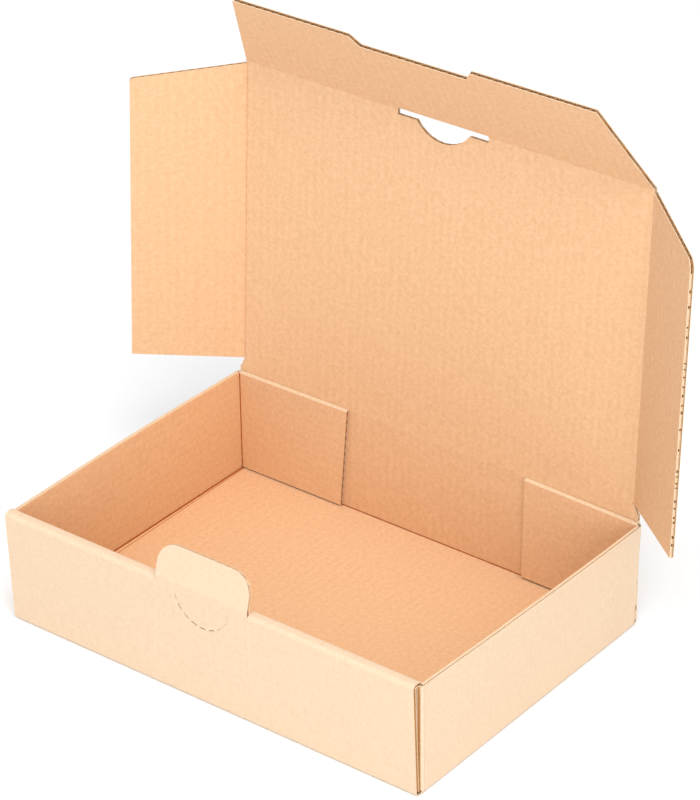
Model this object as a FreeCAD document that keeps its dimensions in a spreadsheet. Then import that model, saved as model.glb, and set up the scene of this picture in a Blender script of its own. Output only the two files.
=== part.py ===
import FreeCAD, Part
import math
import os

import Sketcher

# A die-cut mailer box folded from one sheet of single-wall E-flute board, standing open.
# +X is to the right seen from the front, +Y to the back, +Z up, in millimetres.
# The origin is the middle of the underside of the bottom panel.

SIZES = [
    ("board", 1.5, "thickness of the board"),
    ("box_width", 180.0, "outer width over the side walls"),
    ("box_depth", 130.0, "outer depth at the foot of the front and back walls"),
    ("front_height", 45.0, "height of the rolled front wall"),
    ("strip_gap", 0.3, "clearance of the side and back walls under the front wall's top strip"),
    ("layer_gap", 0.2, "clearance between folded layers"),
    ("fold_gap", 0.3, "clearance between a flap's round nose and the panel beside it"),
    ("fold_radius", 1.1, "outer radius of a folded corner"),
    ("end_inset", 0.8, "front and back walls end this far inside the side walls"),
    ("corner_relief", 1.3, "the bottom panel's corners are cut back this far from the sides"),
    ("front_lean", 1.7, "the front wall's top stands this far out from its foot"),
    ("tab_reach", 48.7, "corner tabs reach this far in from the outer side face"),
    ("left_tab_slant", 3.6, "the left back tab reaches this much further in at its top"),
    ("tab_bend", 2.2, "width over which a front corner tab swings into the lean"),
    ("foot_width", 20.0, "width of each locking foot of the inner front wall"),
    ("foot_place", 45.0, "locking feet stand this far from the middle"),
    ("foot_relief", 0.2, "locking feet stop this far above the underside"),
    ("lock_width", 40.0, "width of the lock tab"),
    ("lock_height", 13.0, "height of the lock tab above its crease"),
    ("lock_corner", 8.0, "corner radius of the lock tab and of the window it leaves"),
    ("lock_fold_angle", 17.0, "lock tab's angle in from the front wall, degrees"),
    ("moon_radius", 11.7, "radius of the perforated half-moon"),
    ("moon_drop", 1.5, "centre of the half-moon below the top of the front wall"),
    ("cut_length", 2.4, "length of one perforation cut"),
    ("cut_width", 0.3, "width of one perforation cut"),
    ("cut_count", 9.0, "number of perforation cuts"),
    ("cut_sweep_angle", 152.0, "angle from the first perforation cut to the last, degrees"),
    ("lid_length", 124.2, "from the lid's hinge to its front fold"),
    ("lid_inset", 2.6, "side folds of the lid lie this far inside the box's sides"),
    ("lid_lean_angle", 3.0, "lid's angle past upright, degrees"),
    ("lid_relief", 4.6, "side flaps start this far from the lid's hinge"),
    ("side_depth", 42.4, "depth of the lid's side flaps"),
    ("side_back_slant", 2.2, "slant of a side flap's back end"),
    ("side_front_slant", 5.7, "slant of a side flap's front end"),
    ("right_corner", 4.0, "radius of the right side flap's front corner"),
    ("left_corner", 1.5, "radius of the left side flap's front corner"),
    ("left_fold_angle", 41.9, "left flap's angle in from the lid's plane, degrees"),
    ("right_fold_angle", 39.9, "right flap's angle in from the lid's plane, degrees"),
    ("flap_depth", 38.8, "depth of the lid's front flap"),
    ("flap_slant", 10.9, "slant of each end of the front flap"),
    ("flap_fold_angle", 34.2, "front flap's angle in from the lid's plane, degrees"),
    ("recess_width", 51.4, "width of the recess at the front flap's free edge"),
    ("recess_floor", 44.6, "width of the recess at its floor"),
    ("recess_depth", 4.6, "depth of the recess"),
    ("slot_width", 39.0, "width of the slot for the lock tab"),
    ("slot_lid_depth", 2.2, "the slot reaches this far into the lid"),
    ("slot_flap_depth", 0.8, "the slot reaches this far into the front flap"),
    ("notch_width", 22.6, "width of the thumb notch at the slot"),
    ("notch_depth", 5.8, "depth of the thumb notch below the slot"),
]

# Lengths that several panels share, as formulas in the sheet's names.
SIDE = "box_width / 2"
SIDE_INNER = "(box_width / 2 - board)"
WALL_END = "(box_width / 2 - end_inset)"
BACK = "box_depth / 2"
FOLD_END = "(box_depth / 2 - board - layer_gap)"
LAYERS = "(3 * board + 2 * layer_gap)"
ABOVE_FLOOR = "(board + layer_gap)"
LEAN_RATE = "(front_lean / front_height)"
BEND_END = "(box_width / 2 - tab_bend)"
TAB_END = "(box_width / 2 - tab_reach)"
NOSE = "(board / 2)"
CLEAR_NOSE = "(board / 2 + fold_gap)"
HINGE_Y = "(box_depth / 2 - board / 2)"
WALL_TOP = "(front_height - board - strip_gap)"
HINGE_Z = "(front_height - board - strip_gap + fold_gap + board / 2)"
SIDE_FOLD = "(box_width / 2 - lid_inset)"
LOCK_Z = "(front_height + fold_gap + board / 2)"
NOTCH_RADIUS = "((notch_width ^ 2 / 4 + notch_depth ^ 2) / (2 * notch_depth))"

SAME_PLACE = 0.001  # two places closer than this are the same

doc = FreeCAD.newDocument("mailer_box")


def make_sheet():
    """The sheet that holds every driving size."""
    sheet = doc.addObject("Spreadsheet::Sheet", "sizes")
    for row, (alias, value, note) in enumerate(SIZES, start=1):
        sheet.set(f"A{row}", alias)
        sheet.set(f"B{row}", str(value))
        sheet.set(f"C{row}", note)
        sheet.setAlias(f"B{row}", alias)
    doc.recompute()
    return sheet


sizes = make_sheet()
ALIASES = {alias for alias, _, _ in SIZES}


def bound(formula):
    """A formula in the sheet's names as an expression of the document."""
    out = ""
    word = ""
    for letter in formula + " ":
        if letter.isalnum() or letter == "_":
            word += letter
        else:
            out += f"sizes.{word}" if word in ALIASES else word
            out += letter
            word = ""
    return out.strip()


def new_body(label, formula=None):
    """A body with its own label, placed by an expression where it doesn't lie in the box's frame."""
    body = doc.addObject("PartDesign::Body", label)
    body.Label = label
    if formula:
        body.setExpression("Placement", bound(formula))
    return body


def sketch_on(body, name, role, lift="0"):
    """An empty sketch on one of the body's own origin planes, lifted along the plane's normal."""
    sketch = body.newObject("Sketcher::SketchObject", name)
    plane = next(f for f in body.Origin.OriginFeatures if f.Role == role)
    sketch.AttachmentSupport = [(plane, "")]
    sketch.MapMode = "FlatFace"
    sketch.setExpression("AttachmentOffset.Base.z", bound(lift))
    return sketch


def tie(sketch, kind, geometry, point, formula):
    """Ties one coordinate of a point of the sketch to a formula."""
    index = sketch.addConstraint(Sketcher.Constraint(kind, -1, 1, geometry, point, 1.0))
    sketch.setExpression(f"Constraints[{index}]", bound(formula))


def loop(sketch, corners):
    """A closed outline of straight lines through corners, each a pair of formulas. The lines start
    as a regular polygon, and the ties then draw each corner to its place."""
    first = sketch.GeometryCount
    count = len(corners)
    turns = [2 * math.pi * i / count for i in range(count)]
    rough = [FreeCAD.Vector(math.cos(turn), math.sin(turn), 0) for turn in turns]
    for i in range(count):
        sketch.addGeometry(Part.LineSegment(rough[i], rough[(i + 1) % count]), False)
    for i in range(count):
        after = first + (i + 1) % count
        sketch.addConstraint(Sketcher.Constraint("Coincident", first + i, 2, after, 1))
    for i, (across, up) in enumerate(corners):
        tie(sketch, "DistanceX", first + i, 1, across)
        tie(sketch, "DistanceY", first + i, 1, up)


def circle(sketch, across, up, radius):
    """A circle with its centre and radius given as formulas."""
    index = sketch.addGeometry(Part.Circle(FreeCAD.Vector(1, 1, 0), FreeCAD.Vector(0, 0, 1), 1))
    tie(sketch, "DistanceX", index, 3, across)
    tie(sketch, "DistanceY", index, 3, up)
    size = sketch.addConstraint(Sketcher.Constraint("Radius", index, 1.0))
    sketch.setExpression(f"Constraints[{size}]", bound(radius))


def rectangle(left, low, right, high):
    """The corners of an upright rectangle."""
    return [(left, low), (right, low), (right, high), (left, high)]


def minus(formula):
    """The same length on the other side of zero."""
    return f"-({formula})"


def pad(body, sketch, length, midplane=False):
    """Adds material along the sketch's normal, or half of it each way."""
    feature = body.newObject("PartDesign::Pad", sketch.Name + "_pad")
    feature.Profile = sketch
    feature.Midplane = midplane
    feature.setExpression("Length", bound(length))
    return feature


def pocket(body, sketch, length, midplane=False, reverse=False):
    """Cuts against the sketch's normal, along it where reversed, or half of it each way. The cut
    has to take something away."""
    doc.recompute()
    before = body.Shape.Volume
    feature = body.newObject("PartDesign::Pocket", sketch.Name + "_pocket")
    feature.Profile = sketch
    feature.Midplane = midplane
    feature.Reversed = reverse
    feature.setExpression("Length", bound(length))
    doc.recompute()
    if body.Shape.Volume >= before:
        raise RuntimeError(f"{sketch.Name} cuts nothing")
    return feature


def value(formula):
    """What a formula in the sheet's names comes to, in millimetres."""
    return float(sizes.evalExpression(bound(formula)))


def lies_at(edge, **places):
    """Whether every point of an edge has the stated coordinates, given by axis as formulas."""
    box = edge.BoundBox
    ends = [(getattr(box, f"{a}Min"), getattr(box, f"{a}Max"), value(f)) for a, f in places.items()]
    return all(max(abs(low - place), abs(high - place)) < SAME_PLACE for low, high, place in ends)


def round_edges(body, name, radius, count, *places):
    """Rounds the edges that lie at any of the stated places; their number has to come out."""
    doc.recompute()
    base = body.Tip
    numbered = enumerate(base.Shape.Edges, start=1)
    names = [f"Edge{i}" for i, edge in numbered if any(lies_at(edge, **p) for p in places)]
    if len(names) != count:
        raise RuntimeError(f"{name} meets {len(names)} edges, not {count}")
    feature = body.newObject("PartDesign::Fillet", name)
    feature.Base = (base, names)
    feature.setExpression("Radius", bound(radius))
    doc.recompute()
    return feature


def leaning(place, height):
    """Y of the front wall's layers: a place at the foot, brought forward by the lean at a height."""
    return f"({place}) - {LEAN_RATE} * ({height})"


def slab(body, length, width):
    """A panel in its own frame: X along its fold, Y away from it, Z to its inner side. Its near end
    is a half-round nose about the fold's axis."""
    side = sketch_on(body, body.Label + "_side", "YZ_Plane")
    round_end = Part.Circle(FreeCAD.Vector(), FreeCAD.Vector(0, 0, 1), value(NOSE))
    nose = side.addGeometry(Part.ArcOfCircle(round_end, math.pi / 2, 1.5 * math.pi), False)
    far, half = value(length), value(NOSE)
    corners = [(0, -half), (far, -half), (far, half), (0, half)]
    for start, end in zip(corners, corners[1:]):
        line = Part.LineSegment(FreeCAD.Vector(*start, 0), FreeCAD.Vector(*end, 0))
        side.addGeometry(line, False)
    side.addConstraint(Sketcher.Constraint("Coincident", nose, 3, -1, 1))
    side.addConstraint(Sketcher.Constraint("Coincident", nose, 2, 1, 1))
    side.addConstraint(Sketcher.Constraint("Coincident", 1, 2, 2, 1))
    side.addConstraint(Sketcher.Constraint("Coincident", 2, 2, 3, 1))
    side.addConstraint(Sketcher.Constraint("Coincident", 3, 2, nose, 1))
    tie(side, "DistanceX", 1, 1, "0")
    tie(side, "DistanceY", 1, 1, minus(NOSE))
    tie(side, "DistanceX", 2, 1, length)
    tie(side, "DistanceY", 2, 1, minus(NOSE))
    tie(side, "DistanceX", 3, 1, length)
    tie(side, "DistanceY", 3, 1, NOSE)
    tie(side, "DistanceX", 3, 2, "0")
    pad(body, side, width, midplane=True)


def trim(body, corners):
    """Cuts away all of a panel that lies outside an outline drawn on it."""
    outline = sketch_on(body, body.Label + "_outline", "XY_Plane")
    reach = "2 * box_width"
    loop(outline, rectangle(minus(reach), minus(reach), reach, reach))
    loop(outline, corners)
    pocket(body, outline, "2 * board", midplane=True)


def both_sides(corners):
    """An outline that is the same left and right, from the corners of its right side."""
    return corners + [(minus(across), up) for across, up in reversed(corners)]


def build_tray():
    """The folded tray: bottom, side walls, back wall, corner tabs and the rolled front wall."""
    body = new_body("tray")

    # Bottom panel, a little narrower where the front and back walls rise from it
    bottom = sketch_on(body, "bottom", "XY_Plane")
    cut_back = "box_width / 2 - corner_relief"
    right_side = [
        (cut_back, minus(BACK)),
        (cut_back, minus(FOLD_END)),
        (SIDE, minus(FOLD_END)),
        (SIDE, FOLD_END),
        (cut_back, FOLD_END),
        (cut_back, BACK),
    ]
    loop(bottom, both_sides(right_side))
    pad(body, bottom, "board")

    # Slots in the bottom panel for the inner front wall's locking feet
    foot_front = leaning(f"{LAYERS} - box_depth / 2 - board", ABOVE_FLOOR)
    foot_back = leaning(f"{LAYERS} - box_depth / 2", ABOVE_FLOOR)
    slots = sketch_on(body, "foot_slots", "XY_Plane")
    for middle in ("foot_place", minus("foot_place")):
        left = f"{middle} - foot_width / 2 - layer_gap"
        right = f"{middle} + foot_width / 2 + layer_gap"
        loop(slots, rectangle(left, f"{foot_front} - layer_gap", right, f"{foot_back} + layer_gap"))
    pocket(body, slots, "board", reverse=True)

    # Side walls
    sides = sketch_on(body, "side_walls", "XZ_Plane")
    loop(sides, rectangle(SIDE_INNER, "0", SIDE, WALL_TOP))
    loop(sides, rectangle(minus(SIDE), "0", minus(SIDE_INNER), WALL_TOP))
    pad(body, sides, f"2 * {FOLD_END}", midplane=True)

    # Back wall
    back = sketch_on(body, "back_wall", "YZ_Plane")
    loop(back, rectangle("box_depth / 2 - board", "0", BACK, WALL_TOP))
    pad(body, back, f"2 * {WALL_END}", midplane=True)

    # Back corner tabs, folded in from the side walls along the back wall
    back_tabs = sketch_on(body, "back_tabs", "XZ_Plane", minus(FOLD_END))
    loop(back_tabs, rectangle(TAB_END, ABOVE_FLOOR, SIDE, WALL_TOP))
    left_tab = [
        (minus(SIDE), ABOVE_FLOOR),
        (minus(TAB_END), ABOVE_FLOOR),
        (f"left_tab_slant - {TAB_END}", WALL_TOP),
        (minus(SIDE), WALL_TOP),
    ]
    loop(back_tabs, left_tab)
    pad(body, back_tabs, "board")

    # Outer front wall and the strip that rolls over its top
    strip_underside = "front_height - board"
    roll = sketch_on(body, "front_roll", "YZ_Plane")
    roll_profile = [
        (minus(BACK), "0"),
        (leaning(minus(BACK), "front_height"), "front_height"),
        (leaning(f"{LAYERS} - box_depth / 2", "front_height"), "front_height"),
        (leaning(f"{LAYERS} - box_depth / 2", strip_underside), strip_underside),
        (leaning("board - box_depth / 2", strip_underside), strip_underside),
        ("board - box_depth / 2", "0"),
    ]
    loop(roll, roll_profile)
    pad(body, roll, f"2 * {WALL_END}", midplane=True)

    # Inner front wall, down to the bottom panel, with its two locking feet
    inner = sketch_on(body, "inner_wall", "YZ_Plane")
    inner_profile = [
        (foot_front, ABOVE_FLOOR),
        (foot_back, ABOVE_FLOOR),
        (leaning(f"{LAYERS} - box_depth / 2", strip_underside), strip_underside),
        (leaning(f"{LAYERS} - box_depth / 2 - board", strip_underside), strip_underside),
    ]
    loop(inner, inner_profile)
    pad(body, inner, f"2 * ({BEND_END} - layer_gap)", midplane=True)
    feet = sketch_on(body, "feet", "XY_Plane", "foot_relief")
    for middle in ("foot_place", minus("foot_place")):
        left = f"{middle} - foot_width / 2"
        right = f"{middle} + foot_width / 2"
        loop(feet, rectangle(left, foot_front, right, foot_back))
    pad(body, feet, f"{ABOVE_FLOOR} - foot_relief")

    # Front corner tabs: upright at the side wall, then leaning between the two front walls
    tab_front = f"{ABOVE_FLOOR} - box_depth / 2"
    tab_back = f"{tab_front} + board"
    leaning_profile = [
        (leaning(tab_front, ABOVE_FLOOR), ABOVE_FLOOR),
        (leaning(tab_back, ABOVE_FLOOR), ABOVE_FLOOR),
        (leaning(tab_back, WALL_TOP), WALL_TOP),
        (leaning(tab_front, WALL_TOP), WALL_TOP),
    ]
    upright_profile = rectangle(tab_front, ABOVE_FLOOR, tab_back, WALL_TOP)
    for label, start, bend, wall in (
        ("right", TAB_END, BEND_END, SIDE_INNER),
        ("left", minus(BEND_END), minus(BEND_END), minus(SIDE_INNER)),
    ):
        flat = sketch_on(body, f"{label}_tab", "YZ_Plane", start)
        loop(flat, leaning_profile)
        pad(body, flat, f"{BEND_END} - {TAB_END}")
        near = sketch_on(body, f"{label}_tab_bend", "YZ_Plane", bend)
        loop(near, leaning_profile)
        far = sketch_on(body, f"{label}_tab_fold", "YZ_Plane", wall)
        loop(far, upright_profile)
        doc.recompute()
        bend_piece = body.newObject("PartDesign::AdditiveLoft", f"{label}_bend")
        bend_piece.Profile = near
        bend_piece.Sections = [far]
        bend_piece.Ruled = True
        doc.recompute()

    # Opening that the lock tab leaves in the strip and in the inner front wall
    seat = sketch_on(body, "lock_seat", "YZ_Plane")
    above = "front_height + board"
    seat_profile = [
        (leaning("board - box_depth / 2", strip_underside), strip_underside),
        (leaning(f"{LAYERS} - box_depth / 2 + board", strip_underside), strip_underside),
        (leaning(f"{LAYERS} - box_depth / 2 + board", above), above),
        (leaning("board - box_depth / 2", above), above),
    ]
    loop(seat, seat_profile)
    pocket(body, seat, "lock_width", midplane=True)
    between_walls = f"box_depth / 2 + front_lean - 1.5 * {ABOVE_FLOOR}"
    window_floor = f"{LAYERS} + front_height - {CLEAR_NOSE} - lock_height"
    window = sketch_on(body, "lock_window", "XZ_Plane", between_walls)
    loop(window, rectangle("-lock_width / 2", window_floor, "lock_width / 2", above))
    pocket(body, window, LAYERS)
    corners = [dict(X=f"{sign}lock_width / 2", Z=window_floor) for sign in ("", "-")]
    round_edges(body, "window_corners", "lock_corner", 2, *corners)

    # Perforated half-moon in the outer front wall, below the lock tab
    slit = sketch_on(body, "slit", "XZ_Plane", "box_depth / 2 + front_lean")
    turned = FreeCAD.Rotation(FreeCAD.Vector(0, 0, 1), -1)  # its angle comes from the sheet
    slit.AttachmentOffset = FreeCAD.Placement(FreeCAD.Vector(), turned)
    slit.setExpression("AttachmentOffset.Base.y", bound("front_height - moon_drop"))
    slit.setExpression("AttachmentOffset.Rotation.Angle", bound("-cut_sweep_angle / 2 * 1 deg"))
    low = minus("moon_radius + cut_width / 2")
    high = minus("moon_radius - cut_width / 2")
    loop(slit, rectangle("-cut_length / 2", low, "cut_length / 2", high))
    first_cut = pocket(body, slit, "front_lean + board")
    moon = body.newObject("PartDesign::PolarPattern", "half_moon")
    moon.Originals = [first_cut]
    moon.Axis = (slit, ["N_Axis"])
    moon.setExpression("Angle", bound("cut_sweep_angle"))
    moon.setExpression("Occurrences", bound("cut_count"))
    body.Tip = moon
    doc.recompute()

    # Outer radii of the folds
    folds = [
        dict(X=SIDE, Z="0"),
        dict(X=minus(SIDE), Z="0"),
        dict(Y=BACK, Z="0"),
        dict(Y=minus(BACK), Z="0"),
        dict(X=SIDE, Y=FOLD_END),
        dict(X=minus(SIDE), Y=FOLD_END),
        dict(X=SIDE, Y=minus(FOLD_END)),
        dict(X=minus(SIDE), Y=minus(FOLD_END)),
        dict(Y=leaning(minus(BACK), "front_height"), Z="front_height"),
    ]
    round_edges(body, "folds", "fold_radius", len(folds), *folds)
    return body


LID_PLACE = (
    f"placement(vector(0; {HINGE_Y}; {HINGE_Z}); rotation(vector(1; 0; 0); (90 - lid_lean_angle) * 1 deg))"
)


def build_lid_panel():
    """The lid's own panel, hinged on the top of the back wall."""
    body = new_body("lid_panel", LID_PLACE)
    slab(body, "lid_length", "2 * box_width")
    slot_floor = "lid_length - slot_lid_depth"
    front_edge = f"lid_length - {CLEAR_NOSE}"
    side_edge = f"{SIDE_FOLD} - {CLEAR_NOSE}"
    right_side = [
        (WALL_END, "-board"),
        (WALL_END, "0"),
        (SIDE_FOLD, "lid_relief"),
        (side_edge, "lid_relief"),
        (side_edge, front_edge),
        ("slot_width / 2", front_edge),
        ("slot_width / 2", slot_floor),
    ]
    trim(body, both_sides(right_side))
    notch = sketch_on(body, "thumb_notch", "XY_Plane")
    circle(notch, "0", f"{slot_floor} - notch_depth + {NOTCH_RADIUS}", NOTCH_RADIUS)
    pocket(body, notch, "2 * board", midplane=True)
    return body


def build_front_flap():
    """The lid's front flap, with the recess in its free edge and its share of the lock's slot."""
    hinge = "placement(vector(0; lid_length; 0); rotation(vector(1; 0; 0); flap_fold_angle * 1 deg))"
    body = new_body("lid_front_flap", f"{LID_PLACE} * {hinge}")
    slab(body, "flap_depth", "2 * box_width")
    right_side = [
        ("slot_width / 2", "slot_flap_depth"),
        ("slot_width / 2", "-board"),
        (SIDE_FOLD, "-board"),
        (SIDE_FOLD, "0"),
        (f"{SIDE_FOLD} - flap_slant", "flap_depth"),
        ("recess_width / 2", "flap_depth"),
        ("recess_floor / 2", "flap_depth - recess_depth"),
    ]
    trim(body, both_sides(right_side))
    return body


def build_side_flap(label, sign, fold, corner):
    """A side flap of the lid. Its X runs toward the lid's hinge on the right, away on the left."""
    place = f"vector({sign} * {SIDE_FOLD}; 0; 0)"
    turn = f"placement({place}; rotation(vector(0; 0; 1); {sign} * -90 * 1 deg))"
    tilt = f"placement(vector(0; 0; 0); rotation(vector(1; 0; 0); {fold} * 1 deg))"
    body = new_body(label, f"{LID_PLACE} * {turn} * {tilt}")
    slab(body, "side_depth", "4 * box_width")
    near = f"{-sign} * (lid_relief + fold_gap)"
    near_tip = f"{-sign} * (lid_relief + fold_gap + side_back_slant)"
    far = f"{-sign} * (lid_length - {CLEAR_NOSE})"
    far_tip = f"{-sign} * (lid_length - {CLEAR_NOSE} - side_front_slant)"
    outline = [
        (near, "-board"),
        (near, "0"),
        (near_tip, "side_depth"),
        (far_tip, "side_depth"),
        (far, "0"),
        (far, "-board"),
    ]
    trim(body, outline)
    round_edges(body, f"{label}_corner", corner, 1, dict(X=far_tip, Y="side_depth"))
    return body


def build_lock_tab():
    """The lock tab on top of the outer front wall."""
    upright = f"rotation(vector(1; 0; 0); 90 * 1 deg - atan({LEAN_RATE}) + lock_fold_angle * 1 deg)"
    hinge = leaning(f"{NOSE} - box_depth / 2", LOCK_Z)
    turn = f"placement(vector(0; {hinge}; {LOCK_Z}); rotation(vector(0; 0; 1); 180 * 1 deg))"
    body = new_body("lock_tab", f"{turn} * placement(vector(0; 0; 0); {upright})")
    slab(body, "lock_height", "lock_width")
    corners = [dict(X=f"{sign}lock_width / 2", Y="lock_height") for sign in ("", "-")]
    round_edges(body, "lock_tab_corners", "lock_corner", 2, *corners)
    return body


def write_parts(bodies):
    """Checks every feature and shape, then writes each body as a STEP file of its own name."""
    doc.recompute()
    for thing in doc.Objects:
        if {"Invalid", "Error"} & set(thing.State):
            raise RuntimeError(f"{thing.Name} did not come out: {thing.State}")
    os.makedirs("parts", exist_ok=True)
    for body in bodies:
        shape = body.Shape
        if shape.isNull() or not shape.isValid() or len(shape.Solids) != 1:
            raise RuntimeError(f"{body.Label} is not one sound solid")
        print(body.Label, round(shape.Volume, 1), shape.BoundBox)
        shape.exportStep(f"parts/{body.Label}.step")


write_parts(
    [
        build_tray(),
        build_lid_panel(),
        build_front_flap(),
        build_side_flap("lid_right_flap", 1, "right_fold_angle", "right_corner"),
        build_side_flap("lid_left_flap", -1, "left_fold_angle", "left_corner"),
        build_lock_tab(),
    ]
)
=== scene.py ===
import logging
import math
import random
from dataclasses import dataclass, field
from enum import Enum
from typing import Callable, Iterable

import bpy
from mathutils import Matrix, Vector


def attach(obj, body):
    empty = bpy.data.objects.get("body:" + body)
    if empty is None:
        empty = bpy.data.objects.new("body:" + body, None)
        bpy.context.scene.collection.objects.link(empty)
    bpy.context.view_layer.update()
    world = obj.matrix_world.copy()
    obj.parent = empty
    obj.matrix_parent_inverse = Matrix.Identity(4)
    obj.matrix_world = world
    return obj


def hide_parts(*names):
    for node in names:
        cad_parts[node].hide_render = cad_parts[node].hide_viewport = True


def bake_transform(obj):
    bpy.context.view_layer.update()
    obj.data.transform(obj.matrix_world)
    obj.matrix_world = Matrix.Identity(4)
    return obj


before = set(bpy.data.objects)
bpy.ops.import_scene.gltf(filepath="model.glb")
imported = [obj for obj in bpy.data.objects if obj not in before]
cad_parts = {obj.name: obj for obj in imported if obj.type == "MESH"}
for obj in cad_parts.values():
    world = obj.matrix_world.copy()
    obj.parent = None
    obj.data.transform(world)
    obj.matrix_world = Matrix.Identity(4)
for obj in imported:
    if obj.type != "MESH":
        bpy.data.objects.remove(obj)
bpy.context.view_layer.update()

Place = Callable[[Vector], float]
LOG = logging.getLogger("mailer_box")
MM = 0.001
FULL_TURN = 2 * math.pi
QUARTER_TURN = math.pi / 2
# Vertices closer than this are one
WELD = 1e-6
# Edges bent less than this are shaded smooth
SMOOTH_ANGLE = math.radians(35)
# Straight pieces in which one flute is drawn
FLUTE_STEPS = 8
# Cutters and overlaps reach this far past a face
HAIR = 0.1 * MM
# Cutters reach this far into the open
BEYOND = 10 * MM


# Sizes


@dataclass(frozen=True)
class Board:
    """Single-wall E-flute board: two paper liners with a fluted medium glued between them."""

    thickness: float = 1.5 * MM
    liner: float = 0.24 * MM
    medium: float = 0.16 * MM
    pitch: float = 3.52 * MM

    @property
    def half(self) -> float:
        """Distance from the middle of the board to either face."""
        return self.thickness / 2

    @property
    def liner_middle(self) -> float:
        """Distance from the middle of the board to the middle of a liner."""
        return self.half - self.liner / 2

    @property
    def wave(self) -> float:
        """Height of the medium's wave about the middle of the board."""
        return self.half - self.liner - self.medium / 2


@dataclass(frozen=True)
class Box:
    """Driving sizes of the folded box, the same as its solids have."""

    width: float = 180 * MM
    depth: float = 130 * MM
    front_height: float = 45 * MM
    strip_gap: float = 0.3 * MM
    layer_gap: float = 0.2 * MM
    end_inset: float = 0.8 * MM
    front_lean: float = 1.7 * MM
    tab_reach: float = 48.7 * MM
    left_tab_slant: float = 3.6 * MM
    left_tab_rise: float = 0.8 * MM
    right_tab_rise: float = 1.1 * MM
    cage_depth: float = 10 * MM
    tab_clearance: float = 0.4 * MM
    tab_bevel: float = 0.45 * MM
    tab_bend: float = 2.2 * MM
    foot_width: float = 20 * MM
    foot_place: float = 45 * MM
    foot_relief: float = 0.2 * MM
    # The inner front wall is trimmed behind this Y
    inner_trim: float = -62.6 * MM
    rule_width: float = 0.35 * MM
    rule_depth: float = 0.06 * MM
    # Distance of the floor's second crease from the left fold, at the front and at the back
    crease_gaps: tuple[float, float] = (2.2 * MM, 0.6 * MM)
    # Grooves under the lock tab, each from its foot to its top, as X and height
    rule_lines: tuple[tuple[float, ...], ...] = (
        (-22.7 * MM, 13.5 * MM, -20.9 * MM, 35 * MM),
        (19.5 * MM, 21 * MM, 20 * MM, 42 * MM),
    )
    bend: float = 0.95 * MM
    pinch: float = 0.35 * MM
    crease: float = 1.05 * MM
    lock_width: float = 40 * MM
    lock_height: float = 13 * MM
    lock_corner: float = 8 * MM
    lock_fold: float = math.radians(17.0)
    moon_radius: float = 11.7 * MM
    moon_drop: float = 1.5 * MM
    cut_length: float = 2.4 * MM
    # The cuts are torn a little open on the left and closed up on the right
    cut_widths: tuple[float, ...] = tuple(
        wide * MM for wide in (0.3, 0.45, 0.4, 0.5, 0.45, 0.35, 0.12, 0.08, 0.08)
    )
    cut_bite: float = 1.3 * MM
    cut_sweep: float = math.radians(152.0)
    lid_length: float = 124.2 * MM
    lid_inset: float = 2.6 * MM
    lid_lean: float = math.radians(3.0)
    lid_relief: float = 4.6 * MM
    lid_step: float = 0.4 * MM
    flap_gap: float = 0.3 * MM
    side_depth: float = 42.4 * MM
    side_back_slant: float = 2.2 * MM
    side_front_slant: float = 5.7 * MM
    right_corner: float = 4 * MM
    left_corner: float = 1.5 * MM
    left_fold: float = math.radians(41.9)
    right_fold: float = math.radians(39.9)
    flap_depth: float = 38.8 * MM
    flap_slant: float = 10.9 * MM
    flap_fold: float = math.radians(34.2)
    recess_width: float = 51.4 * MM
    recess_floor: float = 44.6 * MM
    recess_depth: float = 4.6 * MM
    slot_width: float = 39 * MM
    slot_depth: float = 2.2 * MM
    notch_width: float = 22.6 * MM
    notch_depth: float = 5.8 * MM
    board: Board = field(default_factory=Board)

    @property
    def wall_top(self) -> float:
        """Height of the side and back walls."""
        return self.front_height - self.board.thickness - self.strip_gap

    @property
    def side(self) -> float:
        """X of the middle of the right side wall's board."""
        return self.width / 2 - self.board.half

    @property
    def wall_end(self) -> float:
        """Half the width of the front and back walls."""
        return self.width / 2 - self.end_inset

    @property
    def tab_end(self) -> float:
        """X of the right corner tabs' free edges."""
        return self.width / 2 - self.tab_reach

    @property
    def floor(self) -> float:
        """Height of the middle of the bottom panel's board."""
        return self.board.half

    @property
    def above_floor(self) -> float:
        """Height at which panels that stand on the bottom panel begin."""
        return self.board.thickness + self.layer_gap

    @property
    def seam(self) -> float:
        """Y at which the bottom panel ends, just before its folds to the front and back walls."""
        return self.depth / 2 - self.board.thickness - self.layer_gap

    @property
    def hinge(self) -> Vector:
        """The lid's hinge on the back wall."""
        return Vector((0, self.depth / 2 - self.board.half, self.wall_top + self.crease))

    @property
    def side_fold(self) -> float:
        """Distance of the lid's side folds from the middle."""
        return self.width / 2 - self.lid_inset

    @property
    def flap_span(self) -> tuple[float, float]:
        """Where the lid's side flaps begin and end, from its hinge."""
        return self.lid_relief + self.flap_gap, self.lid_length - self.crease

    @property
    def outside(self) -> float:
        """X of a place in the open beside the right wall."""
        return self.width / 2 + BEYOND / 2

    @property
    def lean_rate(self) -> float:
        """How far the front wall comes forward for each metre of height."""
        return self.front_lean / self.front_height

    @property
    def lock_hinge(self) -> Vector:
        """The lock tab's crease above the front wall."""
        height = self.front_height + self.crease
        return Vector((0, self.board.half - self.depth / 2 - self.lean_rate * height, height))

    def front_layer(self, layer: int, height: float) -> float:
        """Y of the middle of one layer of the rolled front wall.

        Args:
            layer: 0 for the outer wall, 1 for the corner tab, 2 for the inner wall.
            height: Height above the underside.

        Returns:
            The Y coordinate in metres.
        """
        place = self.board.half + layer * (self.board.thickness + self.layer_gap)
        return place - self.depth / 2 - self.lean_rate * height


# Small tools


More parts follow.
